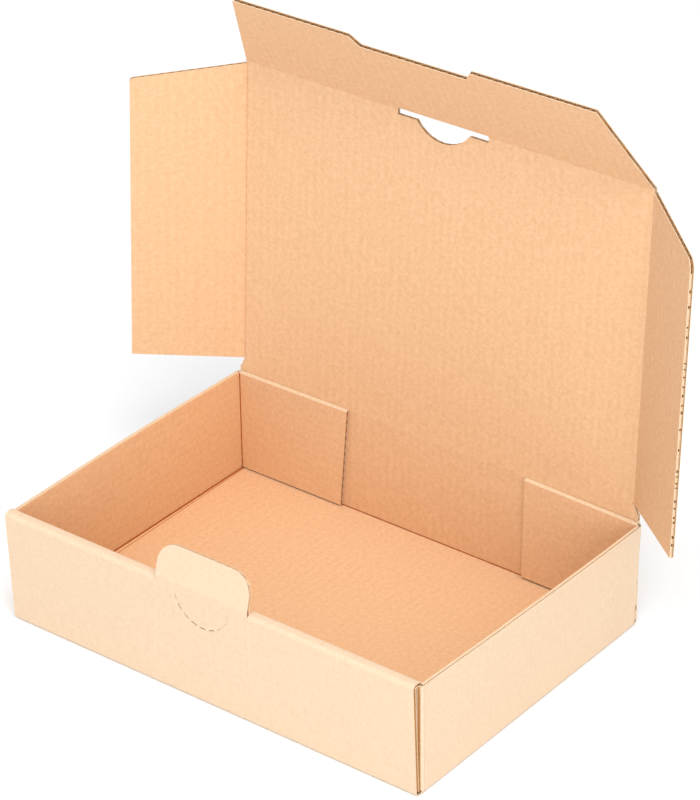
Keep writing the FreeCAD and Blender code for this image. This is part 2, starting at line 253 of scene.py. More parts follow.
def linear(colour: str) -> tuple[float, float, float]:
    """Turns an sRGB hex colour into linear light.

    Args:
        colour: Six hex digits.

    Returns:
        Red, green and blue from 0 to 1.
    """
    parts = [int(colour[i : i + 2], 16) / 255 for i in (0, 2, 4)]
    return tuple(v / 12.92 if v <= 0.04045 else ((v + 0.055) / 1.055) ** 2.4 for v in parts)


def add_node(tree: bpy.types.NodeTree, kind: str, inputs: dict, **settings) -> bpy.types.Node:
    """Adds a node with its settings, values and links.

    Args:
        tree: The node tree that gets the node.
        kind: The node's type without its prefix.
        inputs: Input name or index, with the value or output socket that it takes.
        settings: Attributes of the node itself.

    Returns:
        The new node.
    """
    node = tree.nodes.new("ShaderNode" + kind)
    for name, setting in settings.items():
        setattr(node, name, setting)
    for name, given in inputs.items():
        if isinstance(given, bpy.types.NodeSocket):
            tree.links.new(given, node.inputs[name])
        else:
            node.inputs[name].default_value = given
    return node


def pick(*pieces: bpy.types.Object) -> None:
    """Makes these the only selected objects, the first of them active.

    Args:
        pieces: The objects to select.
    """
    bpy.ops.object.select_all(action="DESELECT")
    for piece in pieces:
        piece.select_set(True)
    bpy.context.view_layer.objects.active = pieces[0]


def place(piece: bpy.types.Object, where: Matrix) -> None:
    """Moves a piece to its place and puts that place in its mesh.

    Args:
        piece: The object.
        where: Its place in the box's frame.
    """
    pick(piece)
    piece.matrix_world = where
    bpy.ops.object.transform_apply(location=True, rotation=True, scale=True)


def shape_with(piece: bpy.types.Object, kind: str, **settings) -> None:
    """Adds a modifier and applies it.

    Args:
        piece: The object.
        kind: The modifier's type.
        settings: The modifier's own settings.
    """
    pick(piece)
    modifier = piece.modifiers.new(kind.lower(), kind)
    for name, setting in settings.items():
        setattr(modifier, name, setting)
    bpy.ops.object.modifier_apply(modifier=modifier.name)


def discard(*pieces: bpy.types.Object) -> None:
    """Removes objects that only helped to shape others.

    Args:
        pieces: The objects to remove.
    """
    for piece in pieces:
        bpy.data.objects.remove(piece, do_unlink=True)


def cut_away(piece: bpy.types.Object, cutters: Iterable[bpy.types.Object], keep: bool = False) -> None:
    """Cuts solids out of a piece, or keeps only what lies inside them.

    Args:
        piece: The object to cut.
        cutters: The solids.
        keep: Whether to keep the inside instead.
    """
    operation = "INTERSECT" if keep else "DIFFERENCE"
    settings = {"operation": operation, "solver": "EXACT", "material_mode": "TRANSFER"}
    for cutter in cutters:
        shape_with(piece, "BOOLEAN", object=cutter, **settings)


def joined(name: str, pieces: list[bpy.types.Object]) -> bpy.types.Object:
    """Joins pieces into the first of them and names it.

    Args:
        name: The new name.
        pieces: The objects.

    Returns:
        The joined object.
    """
    pick(*pieces)
    if len(pieces) > 1:
        bpy.ops.object.join()
    pieces[0].name = name
    return pieces[0]


def stand_in(paper: bpy.types.Object, node: str) -> None:
    """Smooths a paper and lets it stand for a node.

    Args:
        paper: The paper.
        node: The node.
    """
    pick(paper)
    bpy.ops.object.shade_smooth_by_angle(angle=SMOOTH_ANGLE)
    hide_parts(node)
    LOG.info("%s: %d faces", paper.name, len(paper.data.polygons))


# Drawing


@dataclass(frozen=True)
class Corner:
    """A corner of a drawn line: sharp, rounded by a radius, or reached by an arc about a centre."""

    x: float
    y: float
    radius: float = 0.0
    about: tuple[float, float] | None = None

    @property
    def point(self) -> Vector:
        """The corner as a vector."""
        return Vector((self.x, self.y, 0))


@dataclass(frozen=True)
class Run:
    """A straight stretch of a drawn line."""

    start: Vector
    end: Vector

    @property
    def heading(self) -> Vector:
        """Unit vector along the run."""
        return (self.end - self.start).normalized()


@dataclass(frozen=True)
class Bend:
    """A round stretch of a drawn line, turning left where its angle is positive."""

    centre: Vector
    angle: float
    radius: float = 0.0

    SHOULDER = 0.25 * MM

    def pinched(
        self, heading: Vector, offset: float, depth: float, shoulders: tuple[float, float]
    ) -> list[Vector]:
        """The two steps that replace the bend, and a shoulder on either side, where it is pressed in.

        Args:
            heading: Direction in which the bend is entered.
            offset: How far to the left of the line is drawn.
            depth: Depth of the valley.
            shoulders: Lengths that it takes from the runs before and after it.

        Returns:
            The steps down to the valley's floor and up again.
        """
        radius = self.radius - offset
        spokes = [
            Matrix.Rotation(self.angle * share, 3, "Z") @ -left_of(heading) for share in (0, 0.5, 1)
        ]
        first, middle, last = (s * r for s, r in zip(spokes, (radius, radius + depth, radius)))
        after = Matrix.Rotation(self.angle, 3, "Z") @ heading
        return [middle - first + heading * shoulders[0], last - middle + after * shoulders[1]]


def axes_of(x: Iterable[float], y: Iterable[float], z: Iterable[float]) -> Matrix:
    """The turn to a frame with these axes."""
    return Matrix((x, y, z)).transposed().to_4x4()


def left_of(heading: Vector) -> Vector:
    """The unit vector to the left of a heading."""
    return Vector((-heading.y, heading.x, 0))


def turn_between(first: Vector, second: Vector) -> float:
    """The angle from one direction to another, positive to the left."""
    return math.atan2(first.x * second.y - first.y * second.x, first.x * second.x + first.y * second.y)


@dataclass(frozen=True)
class Line:
    """A line through corners, as a maker would draw it: straight runs and round bends."""

    corners: tuple[Corner, ...]
    ARC_STEP = math.radians(11)
    SHORTEST = 1e-7

    def stretches(self) -> list[Run | Bend]:
        """The line's runs and bends in order."""
        out: list[Run | Bend] = []
        here = self.corners[0].point
        for i, corner in enumerate(self.corners[1:], start=1):
            target = corner.point
            if corner.about:
                centre = Vector((*corner.about, 0))
                out.append(Bend(centre, turn_between(here - centre, target - centre)))
                here = target
                continue
            if not corner.radius:
                out.append(Run(here, target))
                here = target
                continue
            heading = (target - here).normalized()
            after = (self.corners[i + 1].point - target).normalized()
            angle = turn_between(heading, after)
            reach = corner.radius * math.tan(abs(angle) / 2)
            touch = target - heading * reach
            out.append(Run(here, touch))
            centre = touch + left_of(heading) * math.copysign(corner.radius, angle)
            out.append(Bend(centre, angle, corner.radius))
            here = target + after * reach
        return [s for s in out if isinstance(s, Bend) or (s.end - s.start).length > self.SHORTEST]

    def draw(self, name: str, offset: float = 0.0, pinch: float = 0.0) -> bpy.types.Object:
        """Draws the line on a new mesh: a vertex is extruded along runs and spun round bends.

        Args:
            name: Name of the new object.
            offset: How far to the left of the line to draw.
            pinch: How deep each bend is pressed in, as a crease is on its inner side.

        Returns:
            The new object, in edit mode, with its last vertex selected.
        """
        stretches = self.stretches()
        start = self.corners[0].point
        heading = (self.corners[1].point - start).normalized()
        bpy.ops.object.select_all(action="DESELECT")
        bpy.ops.mesh.primitive_plane_add(size=MM)
        piece = bpy.context.object
        piece.name = name
        bpy.ops.object.mode_set(mode="EDIT")
        bpy.ops.mesh.merge(type="CENTER")
        bpy.ops.transform.translate(value=start + left_of(heading) * offset)
        for i, stretch in enumerate(stretches):
            if isinstance(stretch, Run):
                heading = stretch.heading
                step = stretch.end - stretch.start
                if pinch:
                    bends = sum(isinstance(s, Bend) for s in stretches[max(0, i - 1) : i + 2])
                    step -= heading * Bend.SHOULDER * bends
                bpy.ops.mesh.extrude_vertices_move(TRANSFORM_OT_translate={"value": step})
            elif pinch:
                beside = (stretches[max(0, i - 1)], stretches[min(i + 1, len(stretches) - 1)])
                shoulders = tuple(Bend.SHOULDER * isinstance(s, Run) for s in beside)
                for step in stretch.pinched(heading, offset, pinch, shoulders):
                    bpy.ops.mesh.extrude_vertices_move(TRANSFORM_OT_translate={"value": step})
            else:
                steps = max(2, math.ceil(abs(stretch.angle) / self.ARC_STEP))
                bpy.ops.mesh.spin(steps=steps, angle=-stretch.angle, center=stretch.centre, axis=(0, 0, 1))
        return piece

    def solid(self, name: str, low: float, high: float) -> bpy.types.Object:
        """Fills the closed line and gives it a height.

        Args:
            name: Name of the new object.
            low: Height of its underside over the drawing's plane.
            high: Height of its top.

        Returns:
            The new object, in object mode.
        """
        closed = Line((*self.corners, self.corners[0]))
        piece = closed.draw(name)
        bpy.ops.mesh.select_all(action="SELECT")
        bpy.ops.mesh.remove_doubles(threshold=WELD)
        bpy.ops.mesh.edge_face_add()
        bpy.ops.transform.translate(value=(0, 0, low))
        bpy.ops.mesh.extrude_region_move(TRANSFORM_OT_translate={"value": (0, 0, high - low)})
        bpy.ops.mesh.select_all(action="SELECT")
        bpy.ops.mesh.normals_make_consistent(inside=False)
        bpy.ops.object.mode_set(mode="OBJECT")
        return piece


def trace(*points: tuple[float, ...]) -> Line:
    """A line through points: X, Y and, at a rounded corner, its radius."""
    return Line(tuple(Corner(*point) for point in points))


def rectangle(left: float, low: float, right: float, high: float) -> Line:
    """An upright rectangle, drawn from its lower left corner."""
    return trace((left, low), (right, low), (right, high), (left, high))


def mirrored(*right_side: tuple[float, ...]) -> Line:
    """A closed outline that is the same left and right, from the points of its right side."""
    return trace(*right_side, *((-x, *rest) for x, *rest in reversed(right_side)))


class Plane(Enum):
    """The plane in which a line is drawn, with its X, Y and Z in the box's frame."""

    END = ((0, 1, 0), (0, 0, 1), (1, 0, 0))
    FACE = ((1, 0, 0), (0, 0, 1), (0, -1, 0))
    PLAN = ((1, 0, 0), (0, 1, 0), (0, 0, 1))

    def matrix(self) -> Matrix:
        """The turn from the drawing's axes to the box's."""
        return axes_of(*self.value)


def block(name: str, x: tuple, y: tuple, z: tuple) -> bpy.types.Object:
    """A box-shaped cutter between two limits on each axis.

    Args:
        name: Name of the new object.
        x: Lowest and highest X.
        y: Lowest and highest Y.
        z: Lowest and highest Z.

    Returns:
        The new object.
    """
    return rectangle(x[0], y[0], x[1], y[1]).solid(name, *z)


# Finishes


def new_finish(name: str, roughness: float, shine: float) -> tuple[bpy.types.Material, bpy.types.Node]:
    """Makes a plain material.

    Args:
        name: Its name.
        roughness: Its roughness.
        shine: Strength of its highlights.

    Returns:
        The material and its shader.
    """
    material = bpy.data.materials.new(name)
    material.use_nodes = True
    shader = material.node_tree.nodes["Principled BSDF"]
    shader.inputs["Roughness"].default_value = roughness
    shader.inputs["Specular IOR Level"].default_value = shine
    return material, shader


def spread(
    tree: bpy.types.NodeTree, given: bpy.types.NodeSocket, low: float, high: float, top: float = 1.0
) -> bpy.types.NodeSocket:
    """Spreads the values between two limits over 0 to another value.

    Args:
        tree: The node tree.
        given: The values.
        low: The value that becomes 0.
        high: The value that becomes the top.
        top: The highest value.

    Returns:
        The spread values.
    """
    limits = {"From Min": low, "From Max": high, "To Max": top}
    return add_node(tree, "MapRange", {"Value": given, **limits}).outputs["Result"]


def tinted(
    tree: bpy.types.NodeTree, share: bpy.types.NodeSocket, ground: bpy.types.NodeSocket | str, tint: str
) -> bpy.types.NodeSocket:
    """Mixes a colour into another.

    Args:
        tree: The node tree.
        share: How much of the tint there is.
        ground: The colour under it, as a socket or as hex digits.
        tint: The tint, as hex digits.

    Returns:
        The mixed colour.
    """
    under = (*linear(ground), 1) if isinstance(ground, str) else ground
    return add_node(tree, "Mix", {0: share, 6: under, 7: (*linear(tint), 1)}, data_type="RGBA").outputs[2]


@dataclass(frozen=True)
class KraftLiner:
    """Unbleached kraft linerboard, formed from long fibres on a paper machine, uncoated.

    It gives the eye a matte, warm sheet with a cloudy tone, short fibres along the machine's way,
    and the faint washboard of the flutes glued behind it, as bumps and as stripes of painted shade.
    """

    name: str
    light: str
    dark: str
    fibre: str
    roughness: float = 0.88
    # Fibre flocs, the cloudy look of the sheet, are 1 to 5 mm across, and broken up finely
    cloud: float = 1.5 * MM
    # Kraft fibres are 2 to 3 mm long and 0.03 mm wide; drawn 0.4 mm wide so that they show
    fibre_length: float = 3 * MM
    fibre_width: float = 0.4 * MM
    washboard: float = 0.012 * MM
    # Strength of the painted shade in stripes along the flutes' ridges
    shadow: float = 0.07

    def make(self, board: Board) -> bpy.types.Material:
        """Builds the material.

        Args:
            board: The board whose flutes show through.

        Returns:
            The finished material.
        """
        material, shader = new_finish(self.name, self.roughness, 0.3)
        tree = material.node_tree
        place_of = add_node(tree, "TexCoord", {}).outputs
        flocs = {"Scale": 1 / self.cloud, "Detail": 5.0, "Roughness": 0.75}
        clouds = add_node(tree, "TexNoise", {"Vector": place_of["Object"], **flocs}).outputs["Fac"]
        sheet = tinted(tree, spread(tree, clouds, 0.36, 0.64), self.dark, self.light)
        fibre_scale = (1 / self.fibre_length, 1 / self.fibre_width, 1)
        grain = add_node(tree, "Mapping", {"Vector": place_of["UV"], "Scale": fibre_scale}).outputs["Vector"]
        fibres = add_node(tree, "TexNoise", {"Vector": grain, "Scale": 1.0, "Detail": 2.0}).outputs["Fac"]
        flecked = tinted(tree, spread(tree, fibres, 0.55, 0.8, 0.35), sheet, self.fibre)
        across = add_node(tree, "SeparateXYZ", {"Vector": place_of["UV"]}).outputs["X"]
        turns = {0: across, 1: FULL_TURN / board.pitch}
        phase = add_node(tree, "Math", turns, operation="MULTIPLY").outputs[0]
        ridges = add_node(tree, "Math", {0: phase}, operation="SINE").outputs[0]
        # Painted shade: a darker colour is mixed in along each flute's ridge line
        striped = tinted(tree, spread(tree, ridges, -1, 1, self.shadow), flecked, self.fibre)
        tree.links.new(striped, shader.inputs["Base Color"])
        relief = {0: fibres, 1: 0.25, 2: ridges}
        surface = add_node(tree, "Math", relief, operation="MULTIPLY_ADD").outputs[0]
        bump = add_node(tree, "Bump", {"Height": surface, "Distance": self.washboard, "Strength": 0.6})
        tree.links.new(bump.outputs["Normal"], shader.inputs["Normal"])
        return material


@dataclass(frozen=True)
class RawPaper:
    """Paper seen at a knife's cut, or the recycled medium inside the board, formed into flutes.

    It gives the eye a rough, fibrous brown, broken up on the scale of the fibres.
    """

    name: str
    light: str
    dark: str
    # Torn fibre ends stand about 0.03 mm proud, in tufts of 0.35 mm
    grain: float = 0.35 * MM
    relief: float = 0.03 * MM
    roughness: float = 0.95

    def make(self) -> bpy.types.Material:
        """Builds the material."""
        material, shader = new_finish(self.name, self.roughness, 0.2)
        tree = material.node_tree
        where = add_node(tree, "TexCoord", {}).outputs["Object"]
        coarse = {"Scale": 1 / self.grain, "Detail": 3.0}
        fibres = add_node(tree, "TexNoise", {"Vector": where, **coarse}).outputs["Fac"]
        colour = tinted(tree, spread(tree, fibres, 0.35, 0.65), self.dark, self.light)
        tree.links.new(colour, shader.inputs["Base Color"])
        bump = add_node(tree, "Bump", {"Height": fibres, "Distance": self.relief})
        tree.links.new(bump.outputs["Normal"], shader.inputs["Normal"])
        return material


@dataclass(frozen=True)
class StudioPaper:
    """Seamless white background paper, smooth and matte, so that only soft shadows show on it."""

    name: str = "studio_paper"
    colour: str = "F3F4F6"
    glow: float = 0.06

    def make(self) -> bpy.types.Material:
        """Builds the material."""
        material, shader = new_finish(self.name, 1.0, 0.0)
        for name in ("Base Color", "Emission Color"):
            shader.inputs[name].default_value = (*linear(self.colour), 1)
        shader.inputs["Emission Strength"].default_value = self.glow
        return material


class Stock:
    """The board that the whole box is cut from, with a finish for each of its papers."""

    def __init__(self, board: Board) -> None:
        """Makes the finishes.

        Args:
            board: Sizes of the board.
        """
        self.board = board
        still = {"washboard": 0.003 * MM, "shadow": 0.01}
        self.outer = KraftLiner("outer_kraft_liner", "E5CCB0", "DEC4A6", "D2B08C", **still).make(board)
        self.inner = KraftLiner("inner_kraft_liner", "EAC199", "DEB389", "C9986B").make(board)
        self.pressed = KraftLiner("pressed_kraft_liner", "EAD5BC", "E6CFB4", "DCC0A0").make(board)
        # Painted shade: a darker finish laid on the pinched inner creases and in the floor's second crease,
        # where the crease shades itself.
        self.folded = KraftLiner("crease_shade_kraft_liner", "C87A3E", "B0642E", "94501F").make(board)
        # Painted shade: a darker finish laid on the front tabs' outer folds, in the gap behind the front
        # wall's ends.
        self.gap_shade = KraftLiner("gap_shade_kraft_liner", "B98754", "A57240", "8E5C30").make(board)
        self.edge = RawPaper("cut_paper_edge", "EFD8BC", "DDBB94").make()
        self.medium = RawPaper("fluting_medium", "C99B6B", "A87848").make()


# Board pieces


def lay_grain(piece: bpy.types.Object, across: Place, along: Place) -> None:
    """Writes the place across and along the flutes, in metres, into the piece's UV map.

    Args:
        piece: The liner.
        across: Gives the place across the flutes of a point.
        along: Gives the place along the flutes of a point.
    """
    mesh = piece.data
    layer = mesh.uv_layers.active or mesh.uv_layers.new(name="grain")
    for loop in mesh.loops:
        point = mesh.vertices[loop.vertex_index].co
        layer.data[loop.index].uv = (across(point), along(point))


def flute_sheet(
    name: str, board: Board, where: Matrix, across: float, along: float, parts: int = 1
) -> bpy.types.Object:
    """Makes a sheet of fluted medium: one flute is drawn, repeated, trimmed and drawn out. It starts
    on a flute's crest.

    Args:
        name: Name of the new object.
        board: Sizes of the board.
        where: Frame with X across the flutes, Y through the board and Z along the flutes.
        across: Width of the sheet across the flutes.
        along: Length of the flutes.
        parts: Number of lengths that each flute is drawn in, for a wall that bulges.

    Returns:
        The new object.
    """
    shares = [i / FLUTE_STEPS for i in range(FLUTE_STEPS + 1)]
    piece = trace(*((s * board.pitch, board.wave * math.cos(FULL_TURN * s)) for s in shares)).draw(name)
    bpy.ops.object.mode_set(mode="OBJECT")
    shape_with(
        piece,
        "ARRAY",
        count=math.ceil(across / board.pitch),
        use_relative_offset=False,
        use_constant_offset=True,
        constant_offset_displace=(board.pitch, 0, 0),
        use_merge_vertices=True,
        merge_threshold=WELD,
    )
    bpy.ops.object.mode_set(mode="EDIT")
    bpy.ops.mesh.select_all(action="SELECT")
    bpy.ops.mesh.bisect(plane_co=(across, 0, 0), plane_no=(1, 0, 0), clear_outer=True)
    bpy.ops.mesh.select_all(action="SELECT")
    for _ in range(parts):
        bpy.ops.mesh.extrude_edges_move(TRANSFORM_OT_translate={"value": (0, 0, along / parts)})
    bpy.ops.object.mode_set(mode="OBJECT")
    place(piece, where)
    shape_with(piece, "SOLIDIFY", thickness=board.medium, offset=0)
    return piece


@dataclass(frozen=True)
class CrushedEdge:
    """A cut along the flutes, where the knife has pressed the medium flat between the liners."""

    low: float = -1.0
    high: float = 1.0
    length: float = 4 * MM
    gaps: float = 0.0

    # Lengths vary between these shares, and the open ones are this much shorter
    SPREAD = (0.5, 1.3)
    OPEN_SHARE = 0.6

    def build(self, board: Board, where: Matrix, long: float) -> bpy.types.Object:
        """Makes the pressed edge in lengths, some of which have sprung open again.

        Args:
            board: Sizes of the board.
            where: Frame with X into the board, Y through it and Z along the cut.
            long: Length of the cut.

        Returns:
            The new object.
        """
        piece = trace((0, self.low * board.wave), (0, self.high * board.wave)).draw("crushed_edge")
        bpy.ops.mesh.select_all(action="SELECT")
        chance = random.Random(round(long / MM))
        done, closed = 0.0, True
        while done < long:
            length = self.length * chance.uniform(*self.SPREAD)
            step = min(length if closed else length * self.OPEN_SHARE, long - done)
            done += step
            move = {"value": (0, 0, step)}
            if closed:
                bpy.ops.mesh.extrude_edges_move(TRANSFORM_OT_translate=move)
            elif done < long:
                bpy.ops.mesh.duplicate_move(TRANSFORM_OT_translate=move)
            closed = not closed or chance.random() > self.gaps
        bpy.ops.object.mode_set(mode="OBJECT")
        place(piece, where)
        shape_with(piece, "SOLIDIFY", thickness=board.medium, offset=0)
        return piece


@dataclass
class Layers:
    """One piece of board as its three papers."""

    outer: bpy.types.Object
    inner: bpy.types.Object
    flutes: bpy.types.Object | None = None
    pressed: bpy.types.Object | None = None

    def all(self) -> list[bpy.types.Object]:
        """The papers that the piece has."""
        return [paper for paper in (self.outer, self.inner, self.flutes, self.pressed) if paper]

    def cut(self, *cutters: bpy.types.Object) -> None:
        """Cuts solids out of every paper, and clears the solids away."""
        for paper in self.all():
            cut_away(paper, cutters)
        discard(*cutters)

    def ride(self, body: str, node: str) -> None:
        """Lets every paper move with a body and stand for its node."""
        for paper in self.all():
            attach(paper, body)
            stand_in(paper, node)


def dress(paper: bpy.types.Object, face: bpy.types.Material, edge: bpy.types.Material | None = None) -> None:
    """Gives a paper its finish, and its cut edges theirs.

    Args:
        paper: The object.
        face: Finish of its faces.
        edge: Finish of its edges, which hold the second material place.
    """
    paper.data.materials.clear()
    paper.data.materials.append(face)
    if edge:
        paper.data.materials.append(edge)


@dataclass
class Panel:
    """A flat panel, drawn in its own plane: X along its fold, Y away from it, Z to its inner side.

    Args:
        name: Name of the panel.
        stock: The board.
        outline: Its closed outline.
        where: Its place in the box's frame.
        flutes_away: Whether the flutes run away from the fold, not along it.
        crushed: Ends of a cut along the flutes, drawn with the panel on its left.
    """

    name: str
    stock: Stock
    outline: Line
    where: Matrix
    flutes_away: bool
    crushed: tuple[Vector, Vector] | None = None

    def liner(self, side: str, low: float, finish: bpy.types.Material) -> bpy.types.Object:
        """Makes one liner of the panel."""
        board = self.stock.board
        paper = self.outline.solid(f"{self.name}_{side}", low, low + board.liner)
        dress(paper, finish, self.stock.edge)
        for face in paper.data.polygons:
            face.material_index = int(abs(face.normal.z) < 0.5)
        if self.flutes_away:
            lay_grain(paper, lambda p: p.x, lambda p: p.y)
        else:
            lay_grain(paper, lambda p: p.y, lambda p: p.x)
        place(paper, self.where)
        return paper

    def flutes(self) -> bpy.types.Object:
        """Makes the fluted medium, trimmed to the outline."""
        board = self.stock.board
        xs = [c.x for c in self.outline.corners]
        ys = [c.y for c in self.outline.corners]
        margin = board.pitch
        left, low = min(xs) - margin, min(ys) - margin
        wide, tall = max(xs) - min(xs) + 2 * margin, max(ys) - min(ys) + 2 * margin
        if self.flutes_away:
            axes, across, along = ((1, 0, 0), (0, 0, -1), (0, 1, 0)), wide, tall
        else:
            axes, across, along = ((0, 1, 0), (0, 0, 1), (1, 0, 0)), tall, wide
        frame_of = Matrix.Translation((left, low, 0)) @ axes_of(*axes)
        piece = flute_sheet(f"{self.name}_flutes", board, frame_of, across, along)
        dress(piece, self.stock.medium)
        inside = self.outline.solid("trim", -board.half, board.half)
        dress(inside, self.stock.medium)
        cut_away(piece, [inside], keep=True)
        discard(inside)
        place(piece, self.where)
        return piece

    def pressed(self) -> bpy.types.Object | None:
        """Makes the pressed edge along the panel's cut, if it has one."""
        if not self.crushed:
            return None
        board = self.stock.board
        start, end = self.crushed
        heading = (end - start).normalized()
        inward = left_of(heading)
        at = Matrix.Translation(start + inward * board.medium)
        turn = axes_of(inward, heading.cross(inward), heading)
        edge = CrushedEdge(low=-0.6, length=1.6 * MM, gaps=0.3).build(board, at @ turn, (end - start).length)
        edge.name = f"{self.name}_pressed_edge"
        dress(edge, self.stock.edge)
        place(edge, self.where)
        return edge

    def build(self) -> Layers:
        """Makes the panel's three papers."""
        board = self.stock.board
        outer = self.liner("outer", -board.half, self.stock.outer)
        inner = self.liner("inner", board.half - board.liner, self.stock.inner)
        return Layers(outer, inner, self.flutes(), self.pressed())


@dataclass
class Strip:
    """A folded strip, drawn as its end looks, with its inner side to the left, and then widened.

    Args:
        name: Name of the strip.
        stock: The board.
        line: The middle of the board, seen from the end.
        plane: The plane in which it is drawn.
        low: Where its width starts, along the plane's third axis.
        high: Where its width ends.
        pinch: How deep its folds are pressed in on their inner side.
        crushed: What its cuts along the flutes look like.
        shaded_folds: Whether painted shade, a darker finish, is laid on its pressed-in folds.
    """

    name: str
    stock: Stock
    line: Line
    plane: Plane
    low: float
    high: float
    pinch: float = 0.0
    crushed: CrushedEdge | None = None
    shaded_folds: bool = True

    # A face this square to a run belongs to the run, not to a fold
    FLAT = 0.995

    def liner(self, side: str, offset: float, finish: bpy.types.Material, parts: int) -> bpy.types.Object:
        """Makes one liner of the strip.

        Args:
            side: Which liner it is, for its name.
            offset: Its place to the left of the board's middle.
            finish: Its finish.
            parts: Number of lengths in which its width is drawn.

        Returns:
            The new object.
        """
        paper = self.line.draw(f"{self.name}_{side}", offset, self.pinch if offset > 0 else 0)
        bpy.ops.mesh.select_all(action="SELECT")
        bpy.ops.transform.translate(value=(0, 0, self.low))
        for _ in range(parts):
            step = (0, 0, (self.high - self.low) / parts)
            bpy.ops.mesh.extrude_edges_move(TRANSFORM_OT_translate={"value": step})
        bpy.ops.mesh.select_all(action="SELECT")
        bpy.ops.mesh.normals_make_consistent(inside=False)
        bpy.ops.object.mode_set(mode="OBJECT")
        place(paper, self.plane.matrix())
        dress(paper, finish, self.stock.edge)
        shape_with(
            paper,
            "SOLIDIFY",
            thickness=self.stock.board.liner,
            offset=0,
            use_even_offset=True,
            material_offset_rim=1,
        )
        # Painted shade: the inner liner's pressed-in folds take the darker crease finish.
        if offset > 0 and self.pinch and self.shaded_folds:
            self.paint_fold_shade(paper, self.stock.folded)
        return paper

    def paint_fold_shade(
        self, paper: bpy.types.Object, finish: bpy.types.Material, to_front: float = -1.0
    ) -> None:
        """Paints shade on the folds of a liner, as a darker finish.

        Args:
            paper: The liner.
            finish: The darker finish, painted shade, for its folds.
            to_front: How squarely a face must look to the front, from -1 for any to 1.
        """
        paper.data.materials.append(finish)
        turn = self.plane.matrix()
        flats = [turn @ left_of(s.heading) for s in self.line.stretches() if isinstance(s, Run)]
        for face in paper.data.polygons:
            is_flat = any(abs(face.normal.dot(flat)) > self.FLAT for flat in flats)
            if face.material_index == 0 and not is_flat and -face.normal.y >= to_front:
                face.material_index = 2

    def flutes(self, along_width: bool, parts: int) -> list[bpy.types.Object]:
        """Makes the medium of the strip's straight runs; the folds have crushed it elsewhere.

        Args:
            along_width: Whether the flutes run along the strip's width, not along its line.
            parts: Number of lengths in which flutes along the width are drawn.

        Returns:
            The flutes, and the pressed edges where the cuts have any.
        """
        board = self.stock.board
        sheets, edges = [], []
        runs = [s for s in self.line.stretches() if isinstance(s, Run)]
        for run in runs:
            length, width = (run.end - run.start).length, self.high - self.low
            if length < board.pitch / 2:
                continue
            heading, up = run.heading, Vector((0, 0, 1))
            side = left_of(heading)
            if along_width and run is runs[-1]:
                start = run.end + up * self.high
                axes, across, along = (-heading, side, -up), length, width
            elif along_width:
                start = run.start + up * self.low
                axes, across, along = (heading, side, up), length, width
            else:
                start = run.start + up * self.high
                axes, across, along = (-up, side, heading), width, length
            where = self.plane.matrix() @ Matrix.Translation(start) @ axes_of(*axes)
            sheet = flute_sheet("flutes", board, where, across, along, parts if along_width else 1)
            dress(sheet, self.stock.medium)
            sheets.append(sheet)
            if self.crushed and run in (runs[0], runs[-1]):
                edge = self.crushed.build(board, where, along)
                dress(edge, self.stock.edge)
                edges.append(edge)
        kinds = (("flutes", sheets), ("pressed_edge", edges))
        return [joined(f"{self.name}_{kind}", pieces) for kind, pieces in kinds if pieces]

    def build(
        self, flutes: bool, along_width: bool, across: Place, along: Place, parts: int = 1
    ) -> Layers:
        """Makes the strip's papers.

        Args:
            flutes: Whether its cut edges show the medium.
            along_width: Whether the flutes run along the strip's width.
            across: Gives a point's place across the flutes.
            along: Gives a point's place along the flutes.
            parts: Number of lengths in which the width is drawn, for a wall that bulges.

        Returns:
            The papers.
        """
        middle = self.stock.board.liner_middle
        outer = self.liner("outer", -middle, self.stock.outer, parts)
        inner = self.liner("inner", middle, self.stock.inner, parts)
        for paper in (outer, inner):
            lay_grain(paper, across, along)
        return Layers(outer, inner, *(self.flutes(along_width, parts) if flutes else ()))


# The box


def bend_with(cage: bpy.types.Object, papers: list[bpy.types.Object]) -> None:
    """Bends papers with a lattice and clears it away."""
    for paper in papers:
        shape_with(paper, "LATTICE", object=cage)
    discard(cage)


@dataclass(frozen=True)
class WallBow:
    """How the side walls have bowed out and sunk between the corners that hold them."""

    right: tuple[float, ...] = (0.0, 0.8 * MM, 1.4 * MM, 1.7 * MM, 1.7 * MM)
    left: tuple[float, ...] = (0.2 * MM, 0.7 * MM, 1.0 * MM, 0.6 * MM, 0.0)
    sink: tuple[float, ...] = (0.0, -0.2 * MM, -0.4 * MM, -0.7 * MM, -0.8 * MM)
    rise: tuple[float, ...] = (0.0, 0.55, 1.0)

    # Lengths in which the walls are drawn, so that they can bend
    LENGTHS = 16

    def cage(self, box: Box) -> bpy.types.Object:
        """Makes the lattice that bends the walls: three points across, five deep and three high.

        Args:
            box: Sizes of the box.

        Returns:
            The lattice.
        """
        bpy.ops.object.add(type="LATTICE", location=(0, 0, box.wall_top / 2))
        cage = bpy.context.object
        cage.scale = (box.width, 2 * box.seam, box.wall_top)
        lattice = cage.data
        lattice.points_u, lattice.points_v, lattice.points_w = 3, len(self.right), len(self.rise)
        lattice.interpolation_type_u = "KEY_LINEAR"
        lattice.interpolation_type_v = lattice.interpolation_type_w = "KEY_CARDINAL"
        for index, point in enumerate(lattice.points):
            deep, high = divmod(index // 3, len(self.right))[::-1]
            share = self.rise[high]
            across = (-self.left[deep], 0.0, self.right[deep])[index % 3] * share
            down = (0.0, 0.0, self.sink[deep])[index % 3] * share
            point.co_deform = point.co + Vector((across / box.width, 0, down / box.wall_top))
        return cage

    def apply(self, box: Box, papers: list[bpy.types.Object]) -> None:
        """Bends papers with the cage and clears it away."""
        bend_with(self.cage(box), papers)


